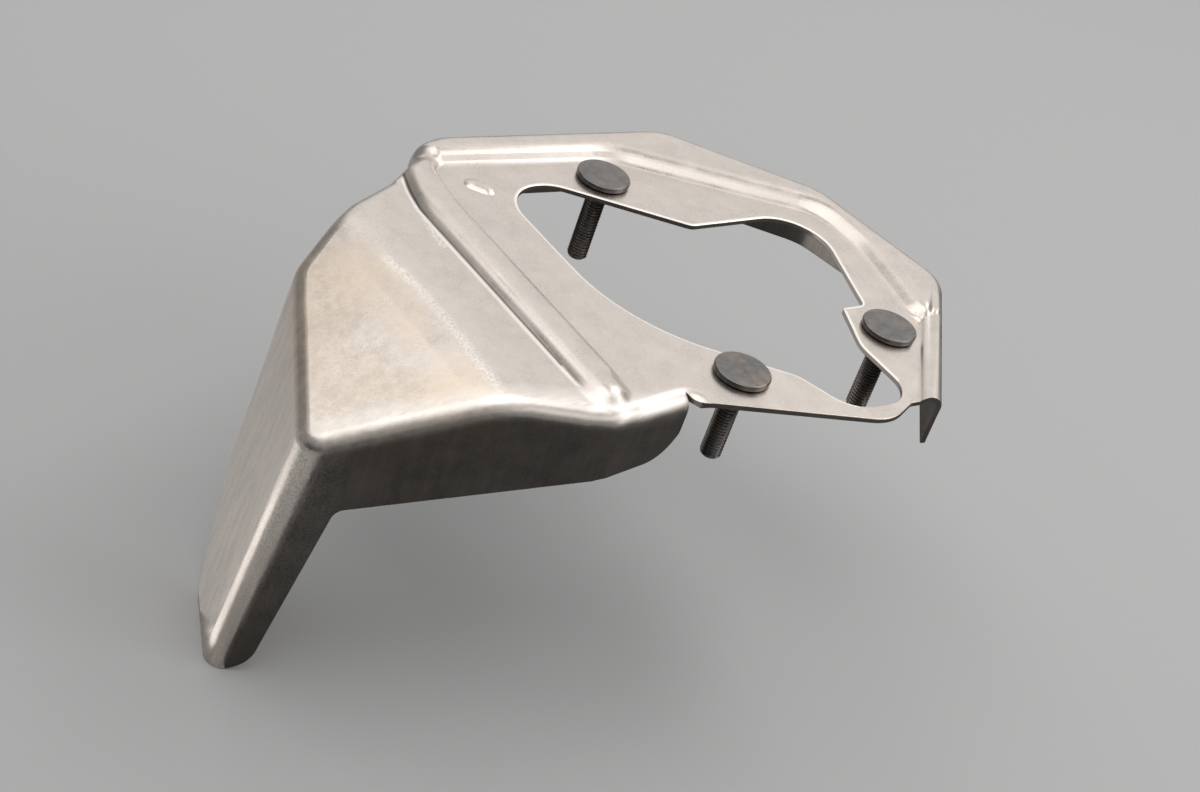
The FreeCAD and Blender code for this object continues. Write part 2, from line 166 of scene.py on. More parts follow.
# The soft boxes: name, place, aim, width and height, all in metres, and power in watts.
MIDDLE = (0, 0.04, 0)
SOFT_BOXES = (
    ("overhead_left", (-0.46, 0.32, 1.12), (-0.46, 0.321, 0), (0.52, 1.56), 4.35),
    ("overhead_right", (0.04, 0.225, 1.12), (0.04, 0.226, 0), (0.48, 1.35), 3.3),
    ("rear_low", (0.788, 0.914, 0.443), MIDDLE, (1.75, 0.69), 2.58),
    ("rear_high", (0.617, 0.724, 0.93), MIDDLE, (1.75, 0.41), 2.0),
    ("edges", (0.80, 0.18, 0.84), MIDDLE, (0.40, 0.34), 1.0),
    ("rims", (0.74, -0.46, 0.60), MIDDLE, (0.50, 0.55), 1.7),
    ("ridge", (0.72, 0.28, 1.02), MIDDLE, (0.45, 0.40), 0.35),
    ("window", (0.66, -0.05, 1.0), MIDDLE, (0.30, 0.46), 1.0),
    ("front", (0.16, -0.90, 0.78), MIDDLE, (1.2, 0.5), 1.6),
    ("side", (0.72, -0.78, 0.30), MIDDLE, (0.7, 0.4), 0.8),
)
# Cards that only reflections see: name, corners in metres, and how brightly each glows.
FLOOR_HALF = 4.0
GLOW_HEIGHT, BLACK_HEIGHT = FLOOR + 1.0 * MM, FLOOR + 0.5 * MM
CARD_TOP = 0.3005
CARDS = (
    ("leg_glow", [
        (-0.119, 0.041, GLOW_HEIGHT), (-0.155, 0.170, GLOW_HEIGHT),
        (-0.240, 0.108, GLOW_HEIGHT), (-0.127, 0.031, GLOW_HEIGHT),
    ], 1.5),
    ("left_glow", [
        (-0.090, 0.060, GLOW_HEIGHT), (-0.117, 0.044, GLOW_HEIGHT),
        (-0.150, 0.190, GLOW_HEIGHT), (-0.010, 0.260, GLOW_HEIGHT),
    ], 0.5),
    # Painted shade: this black card stands in, in reflections only, for the floor in the shield's shadow
    # under and before it.
    ("floor_shade_card", [
        (-0.09, 0.05, BLACK_HEIGHT), (0.07, 0.18, BLACK_HEIGHT), (0.7, 0.18, BLACK_HEIGHT),
        (0.7, -0.8, BLACK_HEIGHT), (-0.66, -0.8, BLACK_HEIGHT), (-0.1215, 0.021, BLACK_HEIGHT),
    ], 0),
    ("camera_side_card", [
        (-1.1, 0.35, BLACK_HEIGHT), (-0.55, -1.1, BLACK_HEIGHT),
        (-0.55, -1.1, CARD_TOP), (-1.1, 0.35, CARD_TOP),
    ], 0),
)
CAMERA_PLACE = Vector((-0.4252, -0.3600, 0.3390))
CAMERA_ACROSS = Vector((0.783, -0.549, 0.292))
CAMERA_AHEAD = Vector((0.6087, 0.5793, -0.5421))


class SheetSizes(bpy.types.PropertyGroup):
    """Sizes that finish the stamped sheet."""

    crease_facet: FloatProperty(
        name="Crease Facet", description="Longest edge of a facet beside a crease",
        default=0.7 * MM, min=0.3 * MM, unit="LENGTH",
    )
    cut_edge_round: FloatProperty(
        name="Cut Edge Round", description="Rounding of the sheet's cut edges",
        default=0.26 * MM, min=0.0, unit="LENGTH",
    )
    cut_edge_roll: FloatProperty(
        name="Cut Edge Roll",
        description="Width of the slope that the punch leaves along the flange's cut edges",
        default=1.0 * MM, min=0.0, unit="LENGTH",
    )
    step_crease_depth: FloatProperty(
        name="Step Crease Depth", description="Depth of the pinched fold in the ridge",
        default=0.9 * MM, min=0.0, unit="LENGTH",
    )


class SheetFinish(bpy.types.PropertyGroup):
    """Colours and gloss of the bare stainless sheet."""

    steel: FloatVectorProperty(
        name="Steel", description="Main colour of the sheet",
        default=(0.625, 0.565, 0.515, 1.0), size=4, subtype="COLOR", min=0.0, max=1.0,
    )
    warm: FloatVectorProperty(
        name="Warm Film", description="Beige film that lies over parts of the wing",
        default=(0.66, 0.565, 0.47, 1.0), size=4, subtype="COLOR", min=0.0, max=1.0,
    )
    # Pale colour of real scuffs, also used as painted highlight on the front bend, the rib's foot and the cut
    # edges.
    rubbed_and_highlight: FloatVectorProperty(
        name="Rubbed and Highlight", description="Pale colour where the die or a hand rubbed the sheet",
        default=(0.88, 0.83, 0.77, 1.0), size=4, subtype="COLOR", min=0.0, max=1.0,
    )
    # Painted shade: a dark colour laid along the rib's foot as the shade in its crease.
    painted_crease_shade: FloatVectorProperty(
        name="Painted Crease Shade", description="Dark film that gathers in a crease",
        default=(0.16, 0.145, 0.13, 1.0), size=4, subtype="COLOR", min=0.0, max=1.0,
    )
    gloss: FloatProperty(
        name="Roughness", description="Roughness of the satin face",
        default=0.29, min=0.0, max=1.0, subtype="FACTOR",
    )


class StudSizes(bpy.types.PropertyGroup):
    """Sizes of the weld studs that the frame doesn't give."""

    pitch: FloatProperty(
        name="Pitch", description="Rise of the thread in one turn", default=1.0 * MM, unit="LENGTH",
    )
    thread_depth: FloatProperty(
        name="Thread Depth", description="From the thread's crest to its root",
        default=0.56 * MM, unit="LENGTH",
    )
    head_radius: FloatProperty(
        name="Head Radius", description="Radius of the round head", default=7.9 * MM, unit="LENGTH",
    )
    head_height: FloatProperty(
        name="Head Height", description="Height of the round head", default=2.0 * MM, unit="LENGTH",
    )
    head_crown: FloatProperty(
        name="Head Crown", description="Fall of the head's face from its middle to its rim",
        default=0.10 * MM, unit="LENGTH",
    )
    head_round: FloatProperty(
        name="Head Round", description="Rounding of the head's upper rim", default=0.55 * MM, unit="LENGTH",
    )
    seat_gap: FloatProperty(
        name="Seat Gap", description="Relief under the head's lower rim", default=0.25 * MM, unit="LENGTH",
    )
    shoulder_radius: FloatProperty(
        name="Shoulder Radius", description="Radius of the plain part that stands in the sheet's hole",
        default=3.4 * MM, unit="LENGTH",
    )
    point: FloatProperty(
        name="Point", description="Chamfer at the stud's end", default=0.8 * MM, unit="LENGTH",
    )
    sides: IntProperty(name="Sides", description="Facets round the shank", default=40, min=12)
    rows: IntProperty(name="Rows", description="Facets along one turn of thread", default=10, min=4)


class StudFinish(bpy.types.PropertyGroup):
    """Colours and gloss of the dark studs."""

    steel: FloatVectorProperty(
        name="Dark Steel", description="Main colour of the studs",
        default=(0.150, 0.150, 0.152, 1.0), size=4, subtype="COLOR", min=0.0, max=1.0,
    )
    bloom: FloatVectorProperty(
        name="Heat Bloom", description="Brown film left by the weld's heat",
        default=(0.215, 0.178, 0.150, 1.0), size=4, subtype="COLOR", min=0.0, max=1.0,
    )
    gloss: FloatProperty(
        name="Roughness", description="Roughness of the head's face",
        default=0.27, min=0.0, max=1.0, subtype="FACTOR",
    )


class StageLook(bpy.types.PropertyGroup):
    """Floor, light and camera."""

    floor: FloatVectorProperty(
        name="Floor", description="Colour of the plain floor",
        default=(0.44, 0.44, 0.44, 1.0), size=4, subtype="COLOR", min=0.0, max=1.0,
    )
    surround: FloatProperty(name="Surround", description="Strength of the even light all round", default=0.30)
    lens: FloatProperty(name="Lens", description="Focal length in millimetres", default=75.0)


def plan_distance(x, y, points):
    """How far a point lies from a line of plan points, in millimetres."""
    nearest = math.inf
    for (ax, ay, _), (bx, by, _) in zip(points, points[1:]):
        dx, dy = bx - ax, by - ay
        along = max(0.0, min(1.0, ((x - ax) * dx + (y - ay) * dy) / (dx * dx + dy * dy)))
        nearest = min(nearest, math.hypot(x - ax - along * dx, y - ay - along * dy))
    return nearest


def bell(distance, width):
    """1 on the line, falling smoothly to 0 at about twice the width."""
    return math.exp(-((distance / width) ** 2))


def smooth_rise(value, start, end):
    """0 up to start and 1 from end on, smooth between them."""
    t = max(0.0, min(1.0, (value - start) / (end - start)))
    return t * t * (3 - 2 * t)


def slope(height, x, y, step=0.05):
    """How fast a height over the plan, in millimetres, rises along x and along y."""
    return (
        (height(x + step, y) - height(x - step, y)) / (2 * step),
        (height(x, y + step) - height(x, y - step)) / (2 * step),
    )


def tilted(direction, slopes, share):
    """A surface direction after a move with the given slopes in x and y, and its own share along the move."""
    x, y, z = direction
    return Vector((x - slopes[0] * share, y - slopes[1] * share, z)).normalized()


def on_rib(x, y):
    """True where the rib gets its pressed section."""
    return RIB_SECTION[0][0] < x < RIB_SECTION[-1][0] and RIB_ENDS[0][0] < y < RIB_ENDS[1][1]


def rib_share(y):
    """How much of the pressed section the rib has at a place along it."""
    return smooth_rise(y, *RIB_ENDS[0]) * (1 - smooth_rise(y, *RIB_ENDS[1]))


def near_step(x, y):
    """True beside the pinched fold in the right ridge."""
    if x < STEP_LEFT or y > STEP_REAR:
        return False
    return plan_distance(x, y, STEP_CREASE) < CREASE_REACH or plan_distance(x, y, STEP_FOOT) < FOOT_REACH


def needs_small_facets(x, y):
    """True at the pinched fold, and at the rib's ends, where the shape turns more than one way."""
    return near_step(x, y) or on_rib(x, y) and not RIB_ENDS[0][1] < y < LEAN_START


def drop_loose(mesh):
    """Drops edges and corners that no facet uses."""
    for edge in [edge for edge in mesh.edges if not edge.link_faces]:
        mesh.edges.remove(edge)
    for vertex in [vertex for vertex in mesh.verts if not vertex.link_edges]:
        mesh.verts.remove(vertex)


def drop_folds(mesh):
    """Drops pairs of facets that lie back to back on the same corners."""
    same = {}
    for face in mesh.faces:
        same.setdefault(frozenset(face.verts), []).append(face)
    for faces in same.values():
        while len(faces) > 1:
            mesh.faces.remove(faces.pop())
            mesh.faces.remove(faces.pop())
    drop_loose(mesh)


def triangulate(mesh):
    """Cuts every facet with more than three corners into triangles."""
    bmesh.ops.triangulate(mesh, faces=[face for face in mesh.faces if len(face.verts) > 3])


def split_facets(mesh, longest):
    """Cuts the rib's long facets across, and halves the others that must be small until they are."""
    for y in (RIB_ENDS[0][1], RIB_MIDDLE, LEAN_START):
        rib = [face for face in mesh.faces if on_rib(face.calc_center_median().x / MM, RIB_MIDDLE)]
        edges = dict.fromkeys(edge for face in rib for edge in face.edges)
        corners = dict.fromkeys(vertex for face in rib for vertex in face.verts)
        bmesh.ops.bisect_plane(
            mesh, geom=[*rib, *edges, *corners], plane_co=(0, y * MM, 0), plane_no=(0, 1, 0),
        )
    triangulate(mesh)
    for _ in range(MOST_HALVINGS):
        long_edges = []
        for edge in mesh.edges:
            start, end = edge.verts[0].co, edge.verts[1].co
            middle = (start + end) / (2 * MM)
            if (start - end).length > longest and needs_small_facets(middle.x, middle.y):
                long_edges.append(edge)
        if not long_edges:
            break
        bmesh.ops.subdivide_edges(mesh, edges=long_edges, cuts=1, use_grid_fill=False)
        triangulate(mesh)
        drop_folds(mesh)


def section_height(x):
    """Height of the pressed rib's outside at a place across it, in millimetres, on a smooth curve."""
    points = RIB_SECTION
    if not points[1][0] < x < points[-2][0]:
        return points[0][1]
    k = next(i for i in range(1, len(points) - 2) if x <= points[i + 1][0])
    (x0, z0), (x1, z1), (x2, z2), (x3, z3) = points[k - 1:k + 3]
    run = x2 - x1
    t = (x - x1) / run
    start, end = (z2 - z0) / (x2 - x0) * run, (z3 - z1) / (x3 - x1) * run
    return (
        (2 * t ** 3 - 3 * t * t + 1) * z1 + (t ** 3 - 2 * t * t + t) * start
        + (3 * t * t - 2 * t ** 3) * z2 + (t ** 3 - t * t) * end
    )


def press_rib(mesh, layer, drawn):
    """Gives the rib its pressed section, on both faces of the sheet."""
    tree = BVHTree.FromBMesh(drawn)
    above = STUD_BOX[1].z + 10 * MM

    def change(x, y):
        """Height that the pressing adds to the drawn sheet, in millimetres."""
        hit = tree.ray_cast(Vector((x * MM, y * MM, above)), Vector((0, 0, -1)))[0]
        return 0.0 if hit is None else rib_share(y) * (section_height(x) - hit.z / MM)

    moves = []
    for vertex in mesh.verts:
        x, y, z = vertex.co / MM
        if not on_rib(x, y) or z <= FLANGE_LOW:
            continue
        across, along = slope(change, x, y, PRESS_STEP)
        if all(loop[layer].z > UPWARD for loop in vertex.link_loops):
            steep = (section_height(x + SECTION_STEP) - section_height(x - SECTION_STEP)) / (2 * SECTION_STEP)
            pressed, across = Vector((-steep, 0, 1)).normalized(), 0.0
            for loop in vertex.link_loops:
                loop[layer] = loop[layer].lerp(pressed, rib_share(y)).normalized()
        for loop in vertex.link_loops:
            loop[layer] = tilted(loop[layer], (across, along), loop[layer].z)
        moves.append((vertex, change(x, y) * MM))
    for vertex, rise in moves:
        vertex.co.z += rise


def rib_lean(x, y):
    """How far the rear of the rib leans to the right, in millimetres."""
    along = max(0.0, y - LEAN_START)
    fade = smooth_rise(x, *LEAN_FADES["left"]) * (1 - smooth_rise(x, *LEAN_FADES["right"]))
    return LEAN * along * along * fade * (1 - smooth_rise(y, *LEAN_FADES["rear"]))


def bend_and_dent(mesh, layer, depth):
    """Leans the rib's rear and pinches the fold in, and turns the surface's directions with them."""
    def dent(x, y):
        """Height that the fold adds to the ridge, in millimetres."""
        if not near_step(x, y):
            return 0.0
        crease = bell(plan_distance(x, y, STEP_CREASE), CREASE_WIDTH)
        dimple = bell(plan_distance(x, y, STEP_DIMPLE), DIMPLE_WIDTH)
        return -depth / MM * (crease + DIMPLE_SHARE * dimple)

    for vertex in mesh.verts:
        x, y, z = vertex.co / MM
        if z < LEG_TOP:
            continue
        lean = rib_lean(x, y)
        if lean:
            slopes = slope(rib_lean, x, y)
            for loop in vertex.link_loops:
                loop[layer] = tilted(loop[layer], slopes, loop[layer].x)
            vertex.co.x += lean * MM
        if z > 0 and near_step(x + lean, y):
            slopes = slope(dent, x + lean, y)
            for loop in vertex.link_loops:
                loop[layer] = tilted(loop[layer], slopes, loop[layer].z)
            vertex.co.z += dent(x + lean, y) * MM


def join_flats(mesh):
    """Joins the flat facets away from the creases."""
    far = {}
    for vertex in mesh.verts:
        x, y = vertex.co.x / MM, vertex.co.y / MM
        if not (near_step(x, y) or on_rib(x - rib_lean(x, y), y)):
            far[vertex] = True
    edges = [edge for edge in mesh.edges if edge.verts[0] in far and edge.verts[1] in far]
    bmesh.ops.dissolve_limit(mesh, angle_limit=FLAT_TURN, verts=list(far), edges=edges)


def cut_edges(mesh, layer):
    """The edges where the sheet was cut, by the turn of its surface there."""
    cut = set()
    for edge in mesh.edges:
        if len(edge.link_faces) != 2 or edge.calc_length() < TINY:
            continue
        sides = [
            sum([loop[layer] for loop in face.loops if loop.vert in edge.verts], Vector())
            for face in edge.link_faces
        ]
        if min(side.length for side in sides) > FAINT and sides[0].angle(sides[1]) > CUT_TURN:
            cut.add(edge)
    return cut


def cut_walls(mesh, cut):
    """The faces of the cut itself: all but the two large skins of the sheet."""
    parts, seen = [], set()
    for first in mesh.faces:
        if first in seen:
            continue
        seen.add(first)
        part, waiting = [], [first]
        while waiting:
            face = waiting.pop()
            part.append(face)
            for edge in face.edges:
                if edge not in cut:
                    fresh = [other for other in edge.link_faces if other not in seen]
                    seen.update(fresh)
                    waiting += fresh
        parts.append(part)
    parts.sort(key=lambda part: sum(face.calc_area() for face in part))
    return {face for part in parts[:-2] for face in part}


def outward(normals):
    """The direction that a corner between walls points, long enough to keep an even distance from each."""
    total = sum(normals, Vector())
    if total.length < FAINT:
        return normals[0]
    total.normalize()
    return total / max(MITRE_LEAST, min(total.dot(normal) for normal in normals))


class EdgeArc:
    """The rounding at one corner of a cut edge, from the skin down to the cut."""

    def __init__(self, vertex):
        self.vertex = vertex
        self.walls, self.skins, self.rises = [], [], []

    def shape(self, mesh, sizes):
        """Sets how deep and how far in the rounding goes, and makes its corners."""
        shortest = min(edge.calc_length() for edge in self.vertex.link_edges)
        self.depth = min(sizes.cut_edge_round, ROUND_SHARE * shortest)
        self.inset = self.depth
        if min(self.rises) > LEVEL:
            turn = self.walls[0].angle(self.walls[-1]) if len(self.walls) > 1 else 0.0
            radius = shortest / max(turn, LEAST_TURN)
            self.inset = max(self.depth, min(sizes.cut_edge_roll, ROUND_SHARE * radius))
        out = outward(self.walls)
        self.up = sum(self.skins, Vector()).normalized()
        self.ring = [self.vertex]
        for turn in EDGE_TURNS[1:]:
            inward, down = self.inset * (1 - math.sin(turn)), self.depth * (1 - math.cos(turn))
            self.ring.append(mesh.verts.new(self.vertex.co - inward * out - down * self.up))
        self.start = self.vertex.co - self.inset * out

    def direction(self, out, row):
        """The surface's direction at a corner of the rounding, towards a wall that faces out."""
        turn = EDGE_TURNS[row]
        return (out * math.sin(turn) * self.depth + self.up * math.cos(turn) * self.inset).normalized()

    def painted_highlight(self, row):
        """How much painted highlight a corner of the rounding gets: none where it is only broken."""
        return EDGE_PAINTED_HIGHLIGHT[row] if self.inset > self.depth else 0.0


def round_cut_edges(mesh, layer, highlight_layer, sizes):
    """Rounds the edges where the sheet was cut, more widely on the level flange, and paints a highlight on
    the wide roundings there.
    """
    cut = cut_edges(mesh, layer)
    walls = cut_walls(mesh, cut)
    arcs, strips = {}, []
    for edge in mesh.edges:
        if edge not in cut or len(walls.intersection(edge.link_faces)) != 1:
            continue
        wall, skin = sorted(edge.link_faces, key=lambda face: face not in walls)
        for vertex in edge.verts:
            arc = arcs.setdefault(vertex, EdgeArc(vertex))
            arc.walls.append(wall.normal.copy())
            arc.skins += [loop[layer].copy() for loop in skin.loops if loop.vert is vertex]
            arc.rises.append(skin.normal.z)
        loop = next(loop for loop in skin.loops if loop.edge is edge)
        out = {corner.vert: corner[layer].copy() for corner in wall.loops}
        strips.append([(vertex, out[vertex]) for vertex in (loop.link_loop_next.vert, loop.vert)])
    for arc in arcs.values():
        arc.shape(mesh, sizes)
    for wall in [face for face in mesh.faces if face in walls]:
        if not any(vertex in arcs for vertex in wall.verts):
            continue
        directions = [loop[layer].copy() for loop in wall.loops]
        made = mesh.faces.new([arcs[vertex].ring[-1] if vertex in arcs else vertex for vertex in wall.verts])
        for loop, direction in zip(made.loops, directions):
            loop[layer] = direction
        mesh.faces.remove(wall)
    for start, end in strips:
        for row in range(len(EDGE_TURNS) - 1):
            corners = [
                (arcs[vertex], out, place)
                for (vertex, out), place in ((start, row), (end, row), (end, row + 1), (start, row + 1))
            ]
            face = mesh.faces.new([arc.ring[place] for arc, _, place in corners])
            for loop, (arc, out, place) in zip(face.loops, corners):
                loop[layer] = arc.direction(out, place)
                loop[highlight_layer] = arc.painted_highlight(place)
    for vertex, arc in arcs.items():
        vertex.co = arc.start
    drop_loose(mesh)


def link(tree, *ends):
    """Joins sockets two by two, from an output to an input."""
    for start, end in zip(ends[::2], ends[1::2]):
        tree.links.new(start, end)


def noise_node(tree, place, scale, detail=4.0, roughness=0.55, stretch=None):
    """A noise pattern on the object's own coordinates, and its grey output."""
    if stretch:
        mapping = tree.nodes.new("ShaderNodeMapping")
        mapping.inputs["Scale"].default_value = stretch
        tree.links.new(place, mapping.inputs["Vector"])
        place = mapping.outputs["Vector"]
    node = tree.nodes.new("ShaderNodeTexNoise")
    node.inputs["Scale"].default_value = scale
    node.inputs["Detail"].default_value = detail
    node.inputs["Roughness"].default_value = roughness
    tree.links.new(place, node.inputs["Vector"])
    return node.outputs["Fac"]


def range_node(tree, value, low, high, to_low=0.0, to_high=1.0):
    """Stretches the part of a value between low and high over a new range."""
    node = tree.nodes.new("ShaderNodeMapRange")
    node.inputs["From Min"].default_value = low
    node.inputs["From Max"].default_value = high
    node.inputs["To Min"].default_value = to_low
    node.inputs["To Max"].default_value = to_high
    tree.links.new(value, node.inputs["Value"])
    return node.outputs["Result"]


def fill(tree, sockets, values):
    """Gives sockets their values: another socket is linked, and a number or colour is set."""
    for socket, value in zip(sockets, values):
        if hasattr(value, "is_linked"):
            tree.links.new(value, socket)
        else:
            socket.default_value = value


def math_node(tree, operation, first, second=0.0):
    """One sum of two values, each a socket or a number."""
    node = tree.nodes.new("ShaderNodeMath")
    node.operation = operation
    fill(tree, node.inputs, (first, second))
    return node.outputs["Value"]


def product(tree, *factors):
    """The product of values, each a socket or a number."""
    total = factors[0]
    for factor in factors[1:]:
        total = math_node(tree, "MULTIPLY", total, factor)
    return total


def vector_node(tree, operation, *terms):
    """One vector sum, with sockets or triples as its terms."""
    node = tree.nodes.new("ShaderNodeVectorMath")
    node.operation = operation
    fill(tree, node.inputs, terms)
    return node.outputs["Value" if operation in ("LENGTH", "DOT_PRODUCT") else "Vector"]


def mix_node(tree, amount, first, second, blend="MIX"):
    """Mixes two colours, each a socket or four numbers."""
    node = tree.nodes.new("ShaderNodeMix")
    node.data_type = "RGBA"
    node.blend_type = blend
    sockets = {socket.identifier: socket for socket in node.inputs}
    fill(tree, [sockets[name] for name in ("Factor_Float", "A_Color", "B_Color")], (amount, first, second))
    return {socket.identifier: socket for socket in node.outputs}["Result_Color"]


def bump_node(tree, height, distance, strength, under=None):
    """Turns a height into a surface direction, over another if given."""
    node = tree.nodes.new("ShaderNodeBump")
    node.inputs["Distance"].default_value = distance
    node.inputs["Strength"].default_value = strength
    tree.links.new(height, node.inputs["Height"])
    if under:
        tree.links.new(under, node.inputs["Normal"])
    return node.outputs["Normal"]


def metal(name):
    """A new material with a metal shader, its node tree, shader and object coordinates."""
    material = bpy.data.materials.new(name)
    material.use_nodes = True
    tree = material.node_tree
    shader = tree.nodes["Principled BSDF"]
    shader.inputs["Metallic"].default_value = 1.0
    place = tree.nodes.new("ShaderNodeTexCoord").outputs["Object"]
    return material, tree, shader, place


def near_line(tree, place, points, width):
    """1 on a line of points in millimetres, falling to 0 at its width in millimetres."""
    nearest = None
    for start, end in zip(points, points[1:]):
        first = tuple(value * MM for value in start)
        run = tuple((b - a) * MM for a, b in zip(start, end))
        offset = vector_node(tree, "SUBTRACT", place, first)
        along = vector_node(tree, "DOT_PRODUCT", offset, run)
        along = math_node(tree, "DIVIDE", along, sum(value * value for value in run))
        clamp = tree.nodes.new("ShaderNodeClamp")
        tree.links.new(along, clamp.inputs["Value"])
        scale = tree.nodes.new("ShaderNodeVectorMath")
        scale.operation = "SCALE"
        scale.inputs[0].default_value = run
        tree.links.new(clamp.outputs[0], scale.inputs["Scale"])
        far = vector_node(tree, "LENGTH", vector_node(tree, "SUBTRACT", offset, scale.outputs[0]))
        nearest = far if nearest is None else math_node(tree, "MINIMUM", nearest, far)
    return range_node(tree, nearest, 0.0, width * MM, 1.0, 0.0)


def grey_tone(tree, value):
    """A grey of the given brightness."""
    tone = tree.nodes.new("ShaderNodeCombineColor")
    link(tree, value, tone.inputs[0], value, tone.inputs[1], value, tone.inputs[2])
    return tone.outputs[0]


def stainless_material(finish):
    """Bare stainless sheet, satin and mottled, with scuffed lines, painted highlights on the front bend, the
    rib's foot and the cut edges, a painted shade line in the rib's foot and a warm film on the wing.
    """
    material, tree, shader, place = metal("worn_stainless")
    clouds = noise_node(tree, place, scale=26, detail=5, roughness=0.6)
    blotches = noise_node(tree, place, scale=130, detail=6, roughness=0.7)
    speckle = noise_node(tree, place, scale=1500, detail=3, roughness=0.75)
    ripple = noise_node(tree, place, scale=45, detail=1, roughness=0.4)
    draw_marks = noise_node(tree, place, scale=1, detail=4, roughness=0.65, stretch=(420, 420, 45))
    brushed = noise_node(tree, place, scale=1, detail=3, roughness=0.6, stretch=(60, 900, 900))
    apart = tree.nodes.new("ShaderNodeSeparateXYZ")
    tree.links.new(place, apart.inputs[0])
    wing = range_node(tree, apart.outputs[0], *WING_FROM)
    top = range_node(tree, apart.outputs[2], *TOP_FROM)
    wall = range_node(tree, apart.outputs[2], *WALL_FROM)

    # The film lies in clouds on the wing's top, and the walls have streaks from the draw.
    film = product(tree, wing, top, range_node(tree, clouds, 0.36, 0.6))
    colour = mix_node(tree, film, tuple(finish.steel), tuple(finish.warm))
    mottle = range_node(tree, blotches, 0.3, 0.7, 0.91, 1.05)
    grain = range_node(tree, speckle, 0.3, 0.7, 0.93, 1.06)
    streaks = product(tree, wall, range_node(tree, draw_marks, 0.35, 0.65, 0.0, 0.16))
    shade = math_node(tree, "SUBTRACT", product(tree, mottle, grain), streaks)
    colour = mix_node(tree, 1.0, colour, grey_tone(tree, shade), "MULTIPLY")

    # Pale places: a painted highlight in brushed streaks on the front bend, real scuffs in flecks, and
    # painted highlights along the rib's foot and over the rolled edges. Where they meet, the strongest shows.
    flecks = range_node(tree, speckle, 0.42, 0.58)
    edge = tree.nodes.new("ShaderNodeAttribute")
    edge.attribute_name = "edge_highlight"
    # Painted highlight: the front bend's crest is paled in brushed streaks.
    rubbed_and_highlight = product(
        tree, near_line(tree, place, FRONT_BEND, 6.5), range_node(tree, brushed, 0.3, 0.65, 0.45, 0.95),
    )
    for mark in (
        product(tree, near_line(tree, place, FOLD_SCUFF, 2.2), flecks),
        # Painted highlight: a thin pale line along the rib's left foot.
        near_line(tree, place, RIB_LEFT_FOOT, 0.8),
        product(tree, near_line(tree, place, RIB_FOOT_SCUFF, 1.7), flecks),
        product(tree, near_line(tree, place, LEG_BEND, 14.0), flecks, 0.6),
        # Painted highlight over the rolled cut edges.
        edge.outputs["Fac"],
    ):
        rubbed_and_highlight = math_node(tree, "MAXIMUM", rubbed_and_highlight, mark)
    colour = mix_node(tree, rubbed_and_highlight, colour, tuple(finish.rubbed_and_highlight))
    # Painted shade: a thin dark line beside the rib's left foot.
    colour = mix_node(tree, near_line(tree, place, RIB_FOOT_PAINTED_SHADE, 0.5), colour, tuple(finish.painted_crease_shade))
    tree.links.new(colour, shader.inputs["Base Color"])

    roughness = range_node(tree, blotches, 0.3, 0.7, finish.gloss - 0.05, finish.gloss + 0.06)
    for change in (range_node(tree, clouds, 0.3, 0.7, -0.03, 0.03), product(tree, rubbed_and_highlight, 0.14)):
        roughness = math_node(tree, "ADD", roughness, change)
    tree.links.new(roughness, shader.inputs["Roughness"])

    normal = bump_node(tree, ripple, 0.35 * MM, 0.5)
    normal = bump_node(tree, blotches, 0.05 * MM, 0.45, normal)
    normal = bump_node(tree, draw_marks, 0.03 * MM, 0.25, normal)
    normal = bump_node(tree, speckle, 0.012 * MM, 0.4, normal)
    tree.links.new(normal, shader.inputs["Normal"])
    return material


def dark_steel_material(finish):
    """Dark steel of the studs, mottled brown and grey by heat."""
    material, tree, shader, place = metal("heat_dark_steel")
    clouds = noise_node(tree, place, scale=105, detail=3, roughness=0.55)
    stains = noise_node(tree, place, scale=380, detail=4, roughness=0.6)
    speckle = noise_node(tree, place, scale=2600, detail=2, roughness=0.6)
    colour = mix_node(tree, range_node(tree, clouds, 0.34, 0.68), tuple(finish.steel), tuple(finish.bloom))
    shade = range_node(tree, stains, 0.3, 0.7, 0.84, 1.18)
    colour = mix_node(tree, 1.0, colour, grey_tone(tree, shade), "MULTIPLY")
    tree.links.new(colour, shader.inputs["Base Color"])
    roughness = range_node(tree, stains, 0.3, 0.7, finish.gloss - 0.06, finish.gloss + 0.1)
    tree.links.new(roughness, shader.inputs["Roughness"])
    normal = bump_node(tree, speckle, 0.02 * MM, 0.5)
    normal = bump_node(tree, stains, 0.04 * MM, 0.4, normal)
    tree.links.new(normal, shader.inputs["Normal"])
    return material


def head_outline(sizes, top, under):
    """The head's half outline, from the middle of its face round the rim to the seat."""
    rim, edge, fall = sizes.head_radius, sizes.head_round, sizes.head_crown
    points = [(rim * out, top - fall * share) for out, share in HEAD_FACE]
    for turn in map(math.radians, range(90, -1, -15)):
        points.append((rim + edge * (math.cos(turn) - 1), top - fall + edge * (math.sin(turn) - 1)))
    points += [(rim - inward * MM, under + up * MM + sizes.seat_gap * gap) for inward, up, gap in SEAT_RELIEF]
    return points + [(sizes.shoulder_radius, under), (sizes.shoulder_radius, 0.0), (0.0, 0.0)]


def lathe(points, sides):
    """A closed turned shape about the vertical axis, from its half outline."""
    shape = bmesh.new()
    rings = []
    for radius, height in points:
        turns = [2 * math.pi * side / sides for side in range(sides if radius > TINY else 1)]
        rings.append([
            shape.verts.new((radius * math.cos(turn), radius * math.sin(turn), height)) for turn in turns
        ])
    for upper, lower in zip(rings, rings[1:]):
        for side in range(sides):
            after = (side + 1) % sides
            corners = [upper[side % len(upper)], lower[side % len(lower)]]
            if len(lower) > 1:
                corners.append(lower[after])
            if len(upper) > 1:
                corners.append(upper[after])
            shape.faces.new(corners)
    bmesh.ops.recalc_face_normals(shape, faces=shape.faces)
    mesh = bpy.data.meshes.new("stud_head")
    shape.to_mesh(mesh)
    shape.free()
    return mesh


